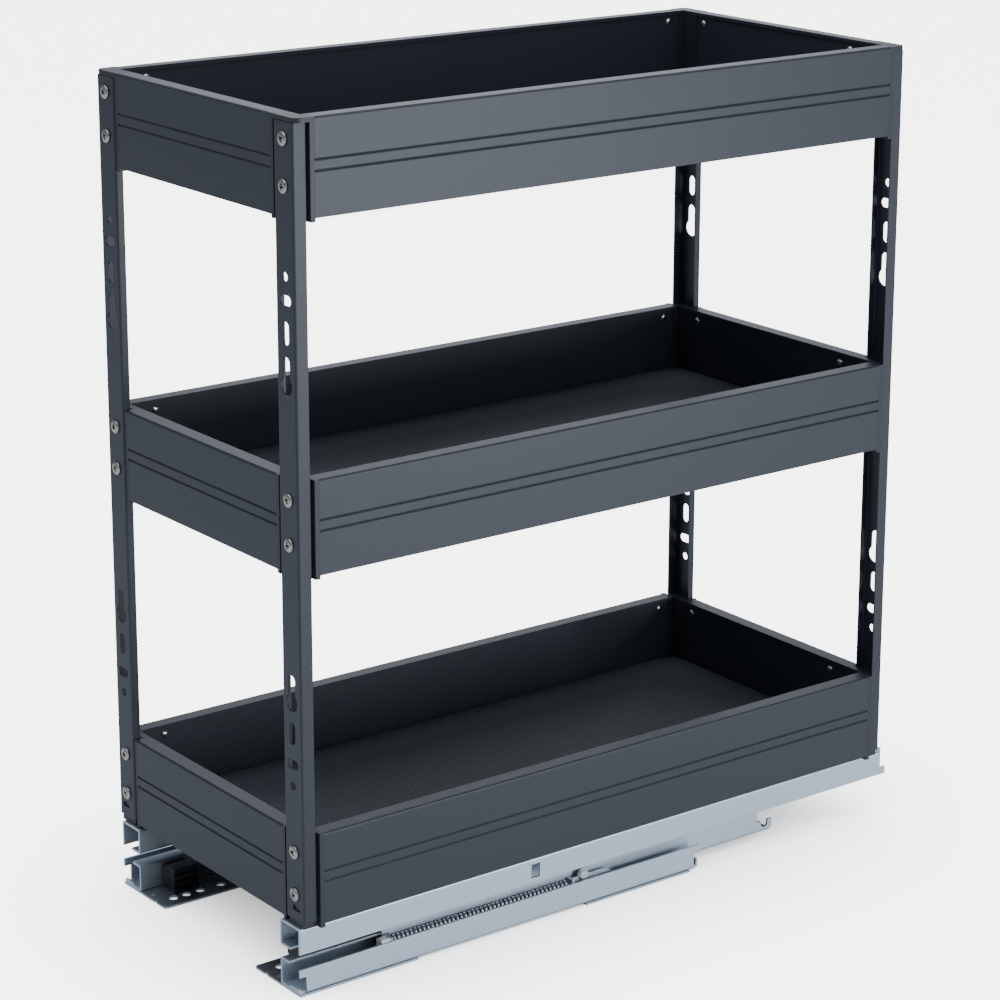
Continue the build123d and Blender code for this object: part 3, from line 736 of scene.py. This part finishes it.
def studio_world():
    """A world that lights the rack softly, seen by the camera as a plain pale backdrop."""
    world = bpy.data.worlds.new("studio")
    world.use_nodes = True
    tree = world.node_tree
    sky = tree.nodes["Background"]
    sky.inputs["Color"].default_value = linear(SKY_COLOUR)
    sky.inputs["Strength"].default_value = SKY_STRENGTH
    backdrop = add_node(
        tree, "ShaderNodeBackground", {"Color": linear(WHITE), "Strength": BACKDROP_STRENGTH}
    )
    ray = add_node(tree, "ShaderNodeLightPath")
    mix = add_node(
        tree,
        "ShaderNodeMixShader",
        {},
        {
            0: ray.outputs["Is Camera Ray"],
            1: sky.outputs["Background"],
            2: backdrop.outputs["Background"],
        },
    )
    tree.links.new(mix.outputs["Shader"], tree.nodes["World Output"].inputs["Surface"])
    return world


def softbox(name, location, target, size, power):
    """A square area light that points at a target and isn't seen itself."""
    data = bpy.data.lights.new(name, "AREA")
    data.shape = "SQUARE"
    data.size = size
    data.energy = power
    data.color = linear(LIGHT_COLOUR)[:3]
    light = bpy.data.objects.new(name, data)
    light.visible_camera = False
    light.location = location
    aim = Vector(target) - Vector(location)
    light.rotation_euler = aim.to_track_quat("-Z", "Y").to_euler()
    return light


def studio_camera():
    """A camera that looks at the rack from the front right and a little above."""
    azimuth, elevation, roll = (math.radians(angle) for angle in CAMERA_ANGLES)
    turn = (
        Matrix.Rotation(azimuth, 4, "Z")
        @ Matrix.Rotation(math.pi / 2 - elevation, 4, "X")
        @ Matrix.Rotation(roll, 4, "Z")
    )
    data = bpy.data.cameras.new("camera")
    data.sensor_width = CAMERA_SENSOR
    data.lens = CAMERA_LENS
    data.shift_x, data.shift_y = CAMERA_SHIFT
    camera = bpy.data.objects.new("camera", data)
    camera.location = CAMERA_PLACE
    camera.rotation_euler = turn.to_euler()
    return camera


class RACK_OT_studio(bpy.types.Operator):
    """Set the floor, the lights and the camera"""

    bl_idname = "rack.studio"
    bl_label = "Studio"

    def execute(self, context):
        scene = context.scene
        bm = bmesh.new()
        bmesh.ops.create_grid(bm, x_segments=1, y_segments=1, size=FLOOR_REACH)
        floor = object_from(bm, "floor")
        floor.data.materials.append(studio_floor())
        scene.world = studio_world()
        for light in LIGHTS:
            scene.collection.objects.link(softbox(*light))
        scene.camera = studio_camera()
        scene.collection.objects.link(scene.camera)
        return {"FINISHED"}


OPERATORS = (
    RACK_OT_coated_sheet,
    RACK_OT_mats,
    RACK_OT_connectors,
    RACK_OT_post_screws,
    RACK_OT_panel_rivets,
    RACK_OT_slides,
    RACK_OT_closing_springs,
    RACK_OT_closing_unit,
    RACK_OT_studio,
)


class RACK_PT_finish(bpy.types.Panel):
    """Lists the rack's pieces and finishes"""

    bl_label = "Pull-out rack"
    bl_idname = "RACK_PT_finish"
    bl_space_type = "VIEW_3D"
    bl_region_type = "UI"
    bl_category = "Rack"

    def draw(self, context):
        for operator in OPERATORS:
            self.layout.operator(operator.bl_idname)
        for group in (context.scene.rack_finish, context.scene.rack_fasteners):
            for name in group.__annotations__:
                self.layout.prop(group, name)


CLASSES = (RackFinish, RackFasteners, *OPERATORS, RACK_PT_finish)


def register():
    """Registers the classes and the settings."""
    for one in CLASSES:
        bpy.utils.register_class(one)
    bpy.types.Scene.rack_finish = bpy.props.PointerProperty(type=RackFinish)
    bpy.types.Scene.rack_fasteners = bpy.props.PointerProperty(type=RackFasteners)


def unregister():
    """Removes the settings and the classes."""
    del bpy.types.Scene.rack_fasteners
    del bpy.types.Scene.rack_finish
    for one in reversed(CLASSES):
        bpy.utils.unregister_class(one)


def main():
    """Builds everything."""
    register()
    for operator in OPERATORS:
        group, name = operator.bl_idname.split(".")
        getattr(getattr(bpy.ops, group), name)()


if __name__ == "__main__":
    main()
